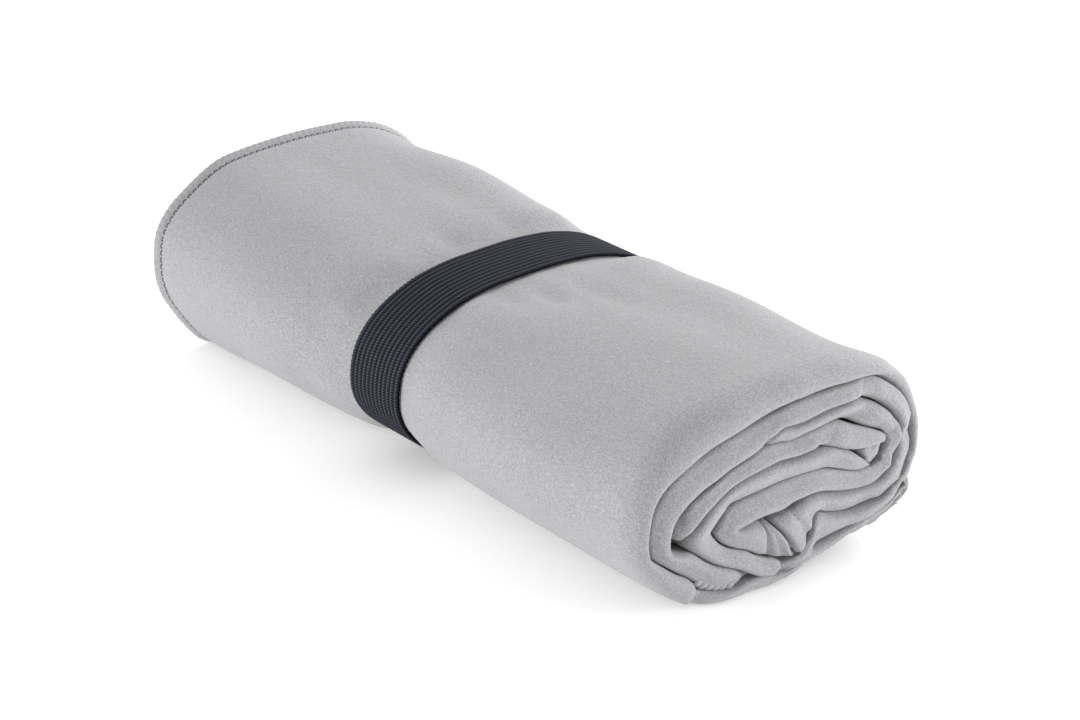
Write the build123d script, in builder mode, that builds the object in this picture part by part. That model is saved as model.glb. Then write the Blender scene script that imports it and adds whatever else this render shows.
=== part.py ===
"""Quick dry towel, folded lengthwise, rolled up and held by a knitted elastic band.

The roll lies along X on its flattened side. Its folded end points to +X and its hemmed end
to -X. The origin is the middle of the object's footprint, at the height it rests on.
"""
from build123d import *
import os
from math import acos, cos, degrees, radians, sin

os.makedirs("parts", exist_ok=True)

# Towel, as cut and as folded
cloth_thickness = 0.70
layers = 8                      # one fold along the towel's length, two across its width
roll_length = 200.0             # a quarter of the towel's width of 800
strip_thickness = layers * cloth_thickness

# Winding: straight runs joined by half-turns, like a strip wound on a flat core
flat_width = 44.0
core_radius = 2.95
pitch = 5.75                    # from one turn of the folded strip to the next
turns = 4
tail_angle = 45.0               # how far the outer end climbs the side
fold_rounding = 2.2

# Overlocked hems
hem_width = 2.6
hem_gap = 0.05
needle_size = 0.4
needle_offset = 0.2

# Elastic band
band_width = 20.0
band_centre = -1.5
band_thickness = 1.2
band_clearance = 0.3
rubber_threads = 12
rubber_size = 0.6
join_length = 16.0
stitch_rows = 2
stitches_per_row = 7
stitch_size = 0.5
stitch_length = 2.0
row_inset = 2.5                 # from the lap's ends

half_length = roll_length / 2
half_flat = flat_width / 2
half_strip = strip_thickness / 2
tail_radius = core_radius + turns * pitch
side_radius = tail_radius - pitch
hem_angle = degrees(hem_width / tail_radius)
loop_inside = band_clearance
loop_outside = band_clearance + band_thickness
join_outside = loop_outside + band_thickness

# The band's underside is the lowest face, and the footprint is centred on Y
height_of_core = tail_radius + half_strip + loop_outside
left_reach = half_flat + side_radius + pitch / 2 + half_strip + loop_outside
right_reach = half_flat + side_radius + half_strip + join_outside
side_shift = (left_reach - right_reach) / 2

join_radius = side_radius + half_strip
join_angle = degrees(join_length / (join_radius + join_outside))
stitch_pitch = band_width / stitches_per_row


def finish(builder, name):
    """Label a finished piece and write it."""
    builder.part.label = name
    export_step(builder.part, f"parts/{name}.step")


def section_plane(x):
    """Cross-section of the roll at x, with its own X across and its own Y up."""
    return Plane(origin=(x, side_shift, height_of_core), x_dir=(0, 1, 0), z_dir=(1, 0, 0))


def winding(offset, end_angle):
    """One line along the wound strip, offset outwards from its middle, core to tail."""
    for turn in range(turns):
        radius = core_radius + turn * pitch + offset
        left = radius + pitch / 2
        Line((-half_flat, -radius), (half_flat, -radius))
        CenterArc((half_flat, 0), radius, -90, 180)
        Line((half_flat, radius), (-half_flat, radius))
        CenterArc((-half_flat, -pitch / 2), left, 90, 180)
    radius = tail_radius + offset
    Line((-half_flat, -radius), (half_flat, -radius))
    CenterArc((half_flat, 0), radius, -90, end_angle)


def tail_point(offset, end_angle):
    """Point on the tail's end, offset outwards from the strip's middle."""
    radius = tail_radius + offset
    angle = radians(end_angle - 90)
    return (half_flat + radius * cos(angle), radius * sin(angle))


def wound_strip(low, high, end_angle):
    """Face between two lines along the wound strip."""
    with BuildLine(Plane.XY) as outline:
        winding(low, end_angle)
        winding(high, end_angle)
        Line((-half_flat, -core_radius - low), (-half_flat, -core_radius - high))
        Line(tail_point(low, end_angle), tail_point(high, end_angle))
    make_face(outline.edges())


def edge_span(layer):
    """Lowest and highest offset of one layer's edge, counted outwards from the middle."""
    return (layer * cloth_thickness + hem_gap, (layer + 1) * cloth_thickness - hem_gap)


def tail_sector(low, high, start_angle, end_angle):
    """Face across the tail between two offsets and two angles."""
    centre = (half_flat, 0)
    sweep_angle = end_angle - start_angle
    with BuildLine(Plane.XY) as outline:
        CenterArc(centre, tail_radius + low, start_angle - 90, sweep_angle)
        CenterArc(centre, tail_radius + high, start_angle - 90, sweep_angle)
        Line(tail_point(low, start_angle), tail_point(high, start_angle))
        Line(tail_point(low, end_angle), tail_point(high, end_angle))
    make_face(outline.edges())


def band_loop(offset):
    """Face inside a loop that stands off the roll's outline by offset."""
    tail = tail_radius + half_strip + offset
    side = side_radius + half_strip + offset
    left = side + pitch / 2
    corner = tail_point(half_strip + offset, tail_angle)
    touch = tail_angle - 90 + degrees(acos(side / tail))
    touch_point = (half_flat + side * cos(radians(touch)), side * sin(radians(touch)))
    with BuildLine(Plane.XY) as outline:
        Line((-half_flat, -tail), (half_flat, -tail))
        CenterArc((half_flat, 0), tail, -90, tail_angle)
        Line(corner, touch_point)
        CenterArc((half_flat, 0), side, touch, 90 - touch)
        Line((half_flat, side), (-half_flat, side))
        CenterArc((-half_flat, -pitch / 2), left, 90, 180)
    make_face(outline.edges())


def ring(inside, outside):
    """Face between two loops around the roll."""
    band_loop(outside)
    with BuildSketch(mode=Mode.PRIVATE) as hole:
        band_loop(inside)
    add(hole.sketch, mode=Mode.SUBTRACT)


def join_sector(inside, outside, start_angle, end_angle):
    """Face on the roll's side between two stand-offs and two angles above level."""
    centre = (half_flat, 0)
    low = join_radius + inside
    high = join_radius + outside
    with BuildLine(Plane.XY) as outline:
        arc_inside = CenterArc(centre, low, start_angle, end_angle - start_angle)
        arc_outside = CenterArc(centre, high, start_angle, end_angle - start_angle)
        Line(arc_inside @ 0, arc_outside @ 0)
        Line(arc_inside @ 1, arc_outside @ 1)
    make_face(outline.edges())


def join_stitch(row):
    """Cross-section of one stitch of a row, sunk in the lap's outer face."""
    inset_angle = degrees(row_inset / join_radius)
    row_angle = inset_angle if row == 0 else join_angle - inset_angle
    half_stitch = degrees(stitch_size / join_radius) / 2
    join_sector(join_outside - stitch_size, join_outside, row_angle - half_stitch,
                row_angle + half_stitch)


# Cloth: eight layers drawn as one strip. On the hemmed end its inner half is the first fold
# and its outer half stops short, where the four hemmed edges lie.
cloth_end = tail_angle - hem_angle
needle_end = cloth_end - degrees(needle_offset / tail_radius)
needle_start = needle_end - degrees(needle_size / tail_radius)
needle_x = -half_length + hem_width + needle_offset
tail_seam_x = needle_x + 2 * needle_size
tail_seam_length = half_length - fold_rounding - tail_seam_x

with BuildPart() as towel_cloth:
    with BuildSketch(section_plane(-half_length + hem_width)):
        wound_strip(-half_strip, half_strip, cloth_end)
    extrude(amount=roll_length - hem_width)
    folded_end = towel_cloth.faces().sort_by(Axis.X)[-1]
    fillet(folded_end.edges(), fold_rounding)
    with BuildSketch(section_plane(-half_length)):
        wound_strip(-half_strip, 0, cloth_end)
    extrude(amount=hem_width)
    # groove for the needle thread beside the outermost long edge
    with BuildSketch(section_plane(needle_x)):
        wound_strip(half_strip - needle_size, half_strip, cloth_end)
    extrude(amount=needle_size, mode=Mode.SUBTRACT)
    # groove for the needle thread along the tail's outer face
    with BuildSketch(section_plane(tail_seam_x)):
        tail_sector(half_strip - needle_size, half_strip, needle_start, needle_end)
    extrude(amount=tail_seam_length, mode=Mode.SUBTRACT)
finish(towel_cloth, "towel_cloth")

# Overlock on the long edges: loopers wrap all four edges, one needle line lies outermost
with BuildPart() as long_edge_loopers:
    for layer in range(layers // 2):
        with BuildSketch(section_plane(-half_length)):
            wound_strip(*edge_span(layer), tail_angle)
        extrude(amount=hem_width - hem_gap)
finish(long_edge_loopers, "long_edge_looper_threads")

with BuildPart() as long_edge_needle:
    with BuildSketch(section_plane(needle_x)):
        wound_strip(half_strip - needle_size, half_strip, cloth_end)
    extrude(amount=needle_size)
finish(long_edge_needle, "long_edge_needle_thread")

# Overlock on the short edges, across all eight layers at the tail
with BuildPart() as short_edge_loopers:
    for layer in range(-layers // 2, layers // 2):
        with BuildSketch(section_plane(-half_length + hem_width)):
            tail_sector(*edge_span(layer), cloth_end, tail_angle)
        extrude(amount=roll_length - hem_width - fold_rounding)
finish(short_edge_loopers, "short_edge_looper_threads")

with BuildPart() as short_edge_needle:
    with BuildSketch(section_plane(tail_seam_x)):
        tail_sector(half_strip - needle_size, half_strip, needle_start, needle_end)
    extrude(amount=tail_seam_length)
finish(short_edge_needle, "short_edge_needle_thread")

# Elastic band: a knitted tape closed into a loop, its ends lapped on the side and sewn
band_start = band_centre - band_width / 2
rubber_pitch = band_width / rubber_threads
rubber_inside = (loop_inside + loop_outside - rubber_size) / 2

with BuildPart() as rubber:
    for thread in range(rubber_threads):
        thread_x = band_start + (thread + 0.5) * rubber_pitch - rubber_size / 2
        with BuildSketch(section_plane(thread_x)):
            ring(rubber_inside, rubber_inside + rubber_size)
        extrude(amount=rubber_size)
finish(rubber, "band_rubber_threads")

with BuildPart() as join_thread:
    for row in range(stitch_rows):
        for stitch in range(stitches_per_row):
            stitch_x = band_start + (stitch + 0.5) * stitch_pitch - stitch_length / 2
            with BuildSketch(section_plane(stitch_x)):
                join_stitch(row)
            extrude(amount=stitch_length)
finish(join_thread, "band_join_thread")

with BuildPart() as band_tape:
    with BuildSketch(section_plane(band_start)):
        ring(loop_inside, loop_outside)
    extrude(amount=band_width)
    with BuildSketch(section_plane(band_start)):
        join_sector(loop_outside, join_outside, 0, join_angle)
    extrude(amount=band_width)
    add(rubber.part, mode=Mode.SUBTRACT)
    add(join_thread.part, mode=Mode.SUBTRACT)
finish(band_tape, "band_knit_tape")
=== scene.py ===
import math

import bpy
import numpy as np
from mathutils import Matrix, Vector


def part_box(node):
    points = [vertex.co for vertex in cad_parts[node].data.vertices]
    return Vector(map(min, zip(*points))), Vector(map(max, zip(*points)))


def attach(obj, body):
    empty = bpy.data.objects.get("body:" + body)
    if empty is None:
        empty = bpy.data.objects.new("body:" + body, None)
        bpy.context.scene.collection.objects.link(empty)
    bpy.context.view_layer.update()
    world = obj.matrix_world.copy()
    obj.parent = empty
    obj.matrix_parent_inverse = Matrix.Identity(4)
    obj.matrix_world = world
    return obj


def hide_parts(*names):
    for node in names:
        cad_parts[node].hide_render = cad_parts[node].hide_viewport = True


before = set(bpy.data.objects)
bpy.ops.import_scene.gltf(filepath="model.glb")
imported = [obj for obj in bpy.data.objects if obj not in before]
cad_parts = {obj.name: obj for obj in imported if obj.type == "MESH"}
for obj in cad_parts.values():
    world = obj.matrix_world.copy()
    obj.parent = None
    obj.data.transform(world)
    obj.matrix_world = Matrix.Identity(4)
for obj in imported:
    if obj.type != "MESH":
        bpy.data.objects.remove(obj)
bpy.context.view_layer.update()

# All lengths are millimetres in the frame of the part, until make_object turns them to metres.
MM = 0.001

# ---------------- places taken from the frame
roll_low, roll_high = (np.array(corner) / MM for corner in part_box("towel_cloth"))
band_low, band_high = (np.array(corner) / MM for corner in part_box("band_knit_tape"))
HEM_X = roll_low[0]
FOLD_X = roll_high[0] + 2.8             # the puffed folds stand a little proud of the CAD roll
BAND_X = (band_low[0] + band_high[0]) / 2 - 0.3
BAND_WIDTH = band_high[0] - band_low[0]

# ---------------- camera
CAMERA_AZIMUTH = 51.52
CAMERA_ELEVATION = 23.79
CAMERA_DISTANCE = 0.695
CAMERA_RIGHT, CAMERA_UP = 0.00615, 0.01884      # of the point it looks at, from the origin
CAMERA_LENS = 90.0
SENSOR_WIDTH = 36


def make_camera():
    """A long lens at the height of a table-top shot."""
    azimuth, elevation = math.radians(CAMERA_AZIMUTH), math.radians(CAMERA_ELEVATION)
    back = Vector((math.sin(azimuth) * math.cos(elevation),
                   -math.cos(azimuth) * math.cos(elevation), math.sin(elevation)))
    right = Vector((math.cos(azimuth), math.sin(azimuth), 0))
    up = back.cross(right)
    camera = bpy.data.objects.new("camera", bpy.data.cameras.new("camera"))
    camera.data.lens = CAMERA_LENS
    camera.data.sensor_width = SENSOR_WIDTH
    camera.data.clip_start, camera.data.clip_end = 0.05, 20
    camera.location = back * CAMERA_DISTANCE + right * CAMERA_RIGHT + up * CAMERA_UP
    camera.rotation_mode = "QUATERNION"
    camera.rotation_quaternion = (-back).to_track_quat("-Z", "Y")
    bpy.context.collection.objects.link(camera)
    bpy.context.scene.camera = camera


# ---------------- the folded strip's section
# Stations along the strip from its tail to its inner end, in millimetres, seen from the
# folded end with Y to the right. Each has the strip's left side, its right side, both as
# Y and Z, and how far the fold stands out there.
TAIL_AND_UNDERSIDE = [
    (32.8, 2.2, 40.6, 14.0, -2.4), (30.6, 4.8, 37.0, 12.2, -2.0), (26.0, 4.0, 31.9, 9.4, -1.5),
    (19.6, 2.8, 25.2, 7.6, -1.5), (12.0, 1.4, 17.4, 6.2, -1.3), (4.0, 0.6, 8.5, 4.9, -0.9),
    (-4.0, 0.2, -2.0, 2.8, -0.3), (-11.0, 0.0, -10.2, 4.1, 0.0),
    (-18.0, 0.0, -17.5, 2.9, -0.4), (-24.0, 0.6, -23.2, 4.6, -1.6), (-27.4, 1.7, -26.9, 7.2, -2.6),
]
OUTER_WRAP = [
    (-29.0, 2.6, -28.1, 9.3, 0.0), (-36.4, 7.6, -32.8, 12.1, 0.0), (-42.0, 12.6, -37.4, 15.6, 0.0),
    (-45.7, 18.2, -41.1, 19.0, 0.0), (-47.2, 24.5, -41.9, 23.7, 0.0),
    (-46.4, 32.0, -40.7, 29.2, 0.0), (-42.5, 39.5, -36.9, 34.4, 0.0),
    (-35.0, 45.8, -30.0, 38.0, 0.0), (-24.5, 50.0, -21.5, 40.8, 0.0),
    (-12.0, 51.8, -10.0, 43.2, 0.0), (0.0, 52.2, 0.0, 44.7, 0.0), (12.0, 51.6, 11.0, 44.7, -0.5),
    (23.0, 49.2, 20.0, 44.0, -1.0), (32.0, 44.8, 26.5, 42.6, -1.5), (38.5, 38.6, 31.0, 39.0, -2.5),
    (42.3, 31.5, 35.5, 34.0, -3.3), (44.0, 24.5, 38.8, 27.8, -3.5), (43.4, 18.0, 40.0, 21.4, -3.2),
]
UNDER_THE_CORE = [
    (40.2, 14.8, 38.4, 16.9, -2.6), (35.8, 12.0, 34.2, 13.3, -1.9), (30.5, 9.3, 28.3, 11.2, -1.5),
    (23.0, 7.2, 21.4, 10.6, -1.0), (14.0, 6.2, 14.0, 12.1, -0.5), (9.5, 5.0, 8.7, 14.6, -0.3),
    (5.8, 4.1, 7.2, 11.0, -0.3), (2.2, 3.3, 4.6, 6.6, -0.4), (-0.8, 2.7, 1.6, 5.4, -1.0),
    (-6.0, 2.9, -4.5, 4.6, -2.2), (-11.0, 3.9, -10.0, 5.4, -2.8),
]
SECOND_WRAP = [
    (-14.6, 3.4, -13.6, 6.4, -1.8), (-16.8, 3.1, -15.2, 8.0, -0.5), (-20.6, 3.9, -17.8, 9.5, 0.0),
    (-24.0, 5.6, -20.8, 11.0, 0.0), (-28.2, 9.2, -24.7, 13.3, 0.0), (-32.8, 12.2, -28.7, 16.2, 0.0),
    (-37.3, 15.7, -31.9, 16.8, 0.0), (-41.1, 19.1, -34.2, 17.4, 0.0), (-41.8, 23.7, -35.0, 19.9, 0.0),
    (-40.6, 29.2, -34.4, 24.2, 0.0), (-36.8, 34.3, -31.8, 28.0, 0.0), (-30.0, 37.9, -26.6, 30.5, 0.0),
    (-21.5, 40.7, -20.0, 33.1, 0.0), (-10.0, 43.1, -9.3, 36.0, 0.0), (-6.0, 43.9, -6.4, 38.2, 0.0),
    (-2.0, 44.4, -3.9, 39.9, 0.0), (4.0, 44.7, 2.6, 39.2, 0.0),
    (12.0, 44.6, 10.8, 39.9, 0.0), (20.0, 43.9, 18.4, 39.5, 0.0),
    (26.5, 42.5, 24.5, 37.3, -0.3), (31.0, 38.9, 28.5, 34.0, -0.7), (35.4, 33.9, 32.0, 30.5, -1.0),
    (38.7, 27.7, 34.3, 26.0, -1.3), (39.9, 21.4, 34.0, 21.5, -1.5), (38.3, 17.0, 32.2, 18.0, -1.6),
    (34.1, 13.3, 29.2, 16.0, -1.5), (28.3, 11.3, 24.0, 15.8, -1.2), (21.4, 10.7, 17.5, 16.7, -0.8),
    (14.0, 12.2, 11.0, 18.4, -0.7),
]
CORE_PLEATS = [
    (8.8, 14.9, 7.8, 19.1, -0.3), (7.5, 14.9, 4.9, 19.2, -0.1), (6.9, 12.6, 1.8, 18.7, 0.0),
    (5.7, 10.1, -1.2, 18.1, 0.2), (4.3, 7.7, -3.8, 18.0, 0.3), (2.4, 6.4, -6.2, 17.9, 0.4),
    (-0.4, 6.1, -7.6, 17.7, 0.4), (-3.0, 6.5, -8.0, 17.6, 0.4), (-5.2, 7.2, -8.4, 17.6, 0.4),
    (-8.6, 8.6, -9.2, 17.7, 0.5), (-12.6, 11.4, -10.6, 17.8, 0.6), (-16.5, 13.4, -12.4, 17.9, 0.4),
    (-19.8, 15.7, -14.4, 17.9, 0.0), (-22.0, 18.7, -15.8, 18.0, 0.0),
]
INNER_WRAP = [
    (-20.2, 21.0, -15.4, 18.0, 0.0), (-17.2, 24.0, -12.8, 17.9, 0.0), (-11.0, 25.0, -8.8, 18.2, 0.0),
    (-3.0, 25.4, -3.0, 18.7, 0.0), (5.0, 25.5, 3.0, 19.7, 0.0), (10.5, 24.9, 9.5, 19.2, 0.0),
    (18.0, 22.3, 17.0, 17.1, 0.0), (24.0, 20.7, 24.0, 16.2, -0.3), (27.0, 20.6, 29.0, 16.4, -0.5),
    (28.3, 21.6, 32.0, 18.1, -0.5), (29.2, 23.2, 33.7, 21.5, -0.5), (30.3, 25.6, 34.2, 26.0, -0.5),
    (28.6, 28.0, 31.9, 30.4, -0.5), (22.5, 31.2, 28.4, 33.9, -0.3), (17.2, 34.7, 24.4, 37.2, 0.0),
    (13.2, 36.4, 18.3, 39.4, 0.0), (5.6, 35.9, 10.6, 39.8, 0.0), (-0.4, 35.4, 2.4, 39.1, 0.0),
    (-5.0, 36.2, -4.2, 39.7, -0.3),
]
TUCKED_UNDER = [
    (-8.0, 35.8, -8.6, 36.6, -4.0), (-19.0, 32.9, -19.3, 33.4, -8.0), (-25.5, 30.2, -25.8, 30.8, -8.0),
    (-30.8, 27.6, -31.6, 28.0, -6.0), (-31.6, 26.6, -33.8, 24.2, -3.0), (-31.4, 26.2, -34.2, 20.6, -1.0),
]
BACK_PLEAT = [
    (-31.0, 27.2, -32.4, 19.4, 0.0), (-27.0, 29.9, -25.8, 24.6, 0.0), (-19.8, 32.8, -17.6, 29.4, 0.0),
    (-12.0, 34.9, -10.0, 30.9, 0.0), (-6.3, 36.1, -4.0, 31.1, 0.0), (-0.2, 35.3, 3.0, 30.7, 0.0),
    (5.8, 35.8, 9.0, 31.2, 0.0), (11.0, 36.4, 12.5, 30.0, 0.6), (14.4, 35.9, 16.0, 28.0, 1.0),
    (19.0, 33.0, 19.5, 26.9, 0.5), (24.5, 30.2, 24.0, 26.6, 0.0), (29.0, 27.6, 27.5, 26.4, -1.0),
    (30.2, 25.9, 23.0, 26.4, -1.5), (29.0, 23.6, 21.2, 26.2, -2.0), (27.8, 22.0, 23.5, 24.0, -2.5),
    (27.0, 21.1, 25.8, 21.9, -3.0),
]
INNER_END = [
    (26.3, 20.6, 26.6, 21.2, -3.0), (23.0, 20.9, 22.5, 24.3, -1.0), (18.0, 22.3, 18.3, 27.3, 0.0),
    (10.5, 24.9, 10.4, 30.8, 0.0), (4.0, 25.5, 3.0, 30.5, 0.0), (-4.0, 25.4, -5.0, 31.0, 0.0),
    (-11.0, 25.0, -11.5, 30.8, 0.0), (-16.8, 24.4, -17.8, 29.3, 0.0), (-18.5, 22.8, -23.0, 26.6, 0.0),
    (-20.5, 20.9, -27.6, 22.8, 0.0), (-22.2, 19.0, -31.6, 18.9, 0.0), (-21.8, 18.0, -29.4, 16.6, 0.0),
    (-20.0, 15.7, -25.2, 13.5, 0.0), (-17.0, 13.5, -20.9, 10.6, 0.0), (-12.6, 11.5, -15.4, 7.5, 0.0),
    (-9.2, 8.9, -11.2, 5.0, 0.0), (-6.0, 7.3, -7.4, 3.2, 0.0), (-3.4, 6.4, -4.6, 2.7, -0.2),
    (-2.3, 5.6, -3.0, 3.6, -0.8),
]
STATIONS = np.array(TAIL_AND_UNDERSIDE + OUTER_WRAP + UNDER_THE_CORE + SECOND_WRAP + CORE_PLEATS
                    + INNER_WRAP + TUCKED_UNDER + BACK_PLEAT + INNER_END)
# Small hollows where the folded edge is gathered: Y, Z, depth and reach.
HOLLOWS = [(22.8, 39.8, 1.5, 2.2), (31.9, 39.5, 2.0, 2.4), (21.3, 36.2, 1.4, 2.0),
           (26.6, 24.9, 1.6, 1.8), (32.0, 22.7, 1.8, 1.9), (36.3, 25.1, 1.5, 2.0),
           (-14.8, 18.1, 0.8, 1.8), (-32.2, 22.8, 0.8, 1.0), (30.2, 30.6, 1.0, 2.0),
           (-17.2, 23.4, 1.6, 1.1), (-13.0, 24.7, 1.0, 0.9), (29.9, 22.6, 1.3, 1.0),
           (35.0, 20.8, 1.8, 1.2), (31.6, 18.0, 1.8, 1.2), (27.0, 19.6, 1.2, 1.0),
           (39.3, 19.4, 1.4, 1.3), (35.8, 14.6, 1.4, 2.2), (29.5, 19.0, 1.2, 1.9),
           (-2.5, 36.6, 0.9, 1.8), (12.6, 30.6, 0.9, 1.8)]
# Short pinches running from a crease into the folded edge beside it: Y, Z, depth and reach.
PINCHES = [(9.0, 31.3, 1.7, 1.1), (10.2, 32.6, 1.2, 1.0), (11.5, 34.0, 0.7, 1.0),
           (22.8, 39.2, 1.3, 1.0), (24.8, 40.0, 0.8, 1.0), (0.6, 44.6, 1.0, 1.1),
           (-7.6, 37.6, 1.6, 1.1), (-9.0, 36.4, 1.2, 1.0), (-17.8, 25.6, 1.0, 1.0),
           (-29.4, 21.0, 1.0, 1.0), (-30.5, 29.0, 0.7, 1.2), (-15.5, 39.0, 0.6, 1.4)]
# Places where the crease between two layers is shallow: Y, Z, share filled and reach.
SHALLOW = [(23.0, 6.6, 0.5, 2.5), (26.5, 7.8, 0.9, 2.4), (30.5, 9.2, 0.9, 2.4),
           (34.0, 11.0, 0.9, 2.4), (37.5, 13.5, 0.9, 2.4), (30.5, 11.8, 0.3, 1.8),
           (-2.5, 18.3, 0.5, 3.0), (3.0, 19.0, 0.5, 3.0), (8.4, 14.6, 0.5, 2.0),
           (7.2, 11.0, 0.75, 2.2), (5.0, 7.0, 0.8, 2.2), (1.5, 5.8, 0.7, 2.2),
           (-3.0, 6.0, 0.3, 2.0), (6.5, 4.4, 0.7, 2.0), (3.0, 3.4, 0.8, 2.2),
           (-0.5, 2.8, 0.8, 2.2), (-14.5, 3.2, 0.6, 2.2), (-10.0, 4.2, 0.6, 2.2),
           (-5.5, 3.0, 0.5, 2.2), (38.6, 14.6, 0.7, 1.8), (29.6, 24.4, 0.6, 1.9),
           (28.4, 22.4, 0.6, 1.6), (-13.5, 17.9, 0.4, 2.2), (-30.0, 28.0, 0.4, 3.0),
           (-23.0, 31.8, 0.4, 4.0)]
MOST_FILLED = 0.85                      # share of a crease that can be filled at most


def smooth_step(t):
    """0 below 0, 1 above 1, and smooth between."""
    t = np.clip(t, 0, 1)
    return t * t * (3 - 2 * t)


def smooth_rows(rows, places, at):
    """Values of each column at new places, by a cubic that never overshoots the rows."""
    step = np.diff(places)
    slope = np.diff(rows, axis=0) / step[:, None]
    tangent = np.zeros_like(rows)
    before, after = slope[:-1], slope[1:]
    same_way = before * after > 0
    weight_1 = (2 * step[1:] + step[:-1])[:, None]
    weight_2 = (step[1:] + 2 * step[:-1])[:, None]
    safe_before = np.where(same_way, before, 1)
    safe_after = np.where(same_way, after, 1)
    mean = (weight_1 + weight_2) / (weight_1 / safe_before + weight_2 / safe_after)
    tangent[1:-1] = np.where(same_way, mean, 0)
    tangent[0], tangent[-1] = slope[0], slope[-1]
    index = np.clip(np.searchsorted(places, at) - 1, 0, len(places) - 2)
    width = step[index][:, None]
    t = ((at - places[index])[:, None]) / width
    return ((2 * t**3 - 3 * t**2 + 1) * rows[index] + (t**3 - 2 * t**2 + t) * width * tangent[index]
            + (3 * t**2 - 2 * t**3) * rows[index + 1] + (t**3 - t**2) * width * tangent[index + 1])


station_step = (np.hypot(*np.diff(STATIONS[:, :2], axis=0).T)
                + np.hypot(*np.diff(STATIONS[:, 2:4], axis=0).T)) / 2
STATION_PLACE = np.concatenate([[0], np.cumsum(station_step)])
STRIP_LENGTH = STATION_PLACE[-1]
OUTER_END = STATION_PLACE[len(TAIL_AND_UNDERSIDE) + len(OUTER_WRAP) - 1]
OUTER_START = STATION_PLACE[len(TAIL_AND_UNDERSIDE) - 1]
CORE_FIRST = len(TAIL_AND_UNDERSIDE) + len(OUTER_WRAP) + len(UNDER_THE_CORE) + len(SECOND_WRAP)

# ---------------- the roll's girth along X
CLOTH = 0.60
# X, width, height, sideways shift and lift off the floor, in millimetres.
GIRTH = np.array([
    (-100, 92.0, 54.6, 0.7, 0.0), (-86, 93.5, 52.5, 0.6, 0.0), (-50, 95.0, 50.3, 1.0, 0.0),
    (-23, 93.2, 49.0, 1.7, 0.1), (-11.9, 89.8, 46.8, 2.6, 0.9), (8.4, 89.4, 46.6, 2.6, 0.9),
    (20, 92.0, 48.4, 1.5, 0.1), (50, 93.9, 50.0, 0.5, 0.0), (80, 93.4, 51.2, -0.5, 0.0),
    (100, 91.3, 52.2, -1.6, 0.0)])
# The section as drawn by the stations: its width and height, the Y of its middle, and the
# oval that stands for its outside.
SECTION_WIDTH, SECTION_HEIGHT, SECTION_SIDE = 91.3, 52.2, -1.6
OVAL_HALF_WIDTH, OVAL_HALF_HEIGHT, OVAL_MIDDLE = 45.6, 26.5, 25.5
# Dents and swellings of the outside: X, angle from +Y in degrees, depth, reach along X, reach
# round the roll in degrees.
DENTS = [(-20, 102, 1.7, 7, 10), (-36, 84, -0.8, 12, 14), (24, 106, 1.5, 8, 7),
         (33, 88, 1.1, 12, 8), (18, 122, 1.0, 7, 6), (-24, 168, 1.3, 7, 8),
         (-19, 150, 0.9, 6, 7), (-72, 100, 0.5, 26, 10), (52, 148, 1.3, 30, 15),
         (62, 104, -0.9, 22, 16), (-50, 150, 0.8, 24, 14), (-30, 192, 1.0, 7, 6),
         (-60, 178, -0.9, 25, 14), (58, 176, -0.9, 22, 12), (30, 20, 1.0, 12, 12),
         (-30, 5, 1.0, 12, 14), (72, 20, 0.9, 20, 12), (-70, 15, 0.9, 20, 14)]
SWELLINGS = [(-100, 134, 0.4, 10, 9), (-100, 152, -0.4, 10, 7), (-100, 168, 0.5, 10, 8),
             (-22, 44, 0.5, 9, 14), (-50, 47, 4.2, 34, 20), (-20, 58, 2.0, 12, 16),
             (45, 47, 2.2, 30, 18), (18, 50, 1.4, 9, 16), (104, 10, 3.3, 16, 22),
             (-100, 214, 2.7, 26, 14), (-40, 215, 2.0, 60, 12), (60, 214, 1.2, 50, 12)]


def outward(y, z):
    """How far out a point of the section lies (1 at its outside), its angle and the way out."""
    from_y = (y - SECTION_SIDE) / OVAL_HALF_WIDTH
    from_z = (z - OVAL_MIDDLE) / OVAL_HALF_HEIGHT
    reach = np.hypot(from_y, from_z)
    angle = np.arctan2(from_z * OVAL_HALF_HEIGHT, from_y * OVAL_HALF_WIDTH)
    direction_y, direction_z = from_y / OVAL_HALF_WIDTH, from_z / OVAL_HALF_HEIGHT
    size = np.maximum(np.hypot(direction_y, direction_z), 1e-6)
    return reach, angle, direction_y / size, direction_z / size


def added(places, x, angle):
    """Sum of soft spots on the outside of the roll."""
    total = np.zeros_like(x)
    degrees = np.degrees(angle) % 360
    for at_x, at_angle, depth, reach_x, reach_angle in places:
        off = (degrees - at_angle + 180) % 360 - 180
        total += depth * np.exp(-((x - at_x) / reach_x) ** 2 - (off / reach_angle) ** 2)
    return total


def sunk(x, angle):
    """How far the outside of the roll is pushed in: dents, puckers at the band, broad waves."""
    total = added(DENTS, x, angle)
    from_band = np.maximum(np.abs(x - BAND_X) - BAND_WIDTH / 2, 0)
    puckers = (np.sin(7 * angle + 0.6) + 0.7 * np.sin(12 * angle + 2.1 + 0.02 * x)
               + 0.5 * np.sin(19 * angle + 4.0))
    total += 0.42 * puckers * np.exp(-from_band / 13) * smooth_step(from_band / 3)
    broad = (np.sin(x / 15 + 2.2 * np.sin(2 * angle) + 1.0)
             + np.sin(x / 9.3 - 3 * angle + 0.4) * 0.6)
    total += 0.36 * broad * smooth_step(from_band / 12)
    return total


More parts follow.
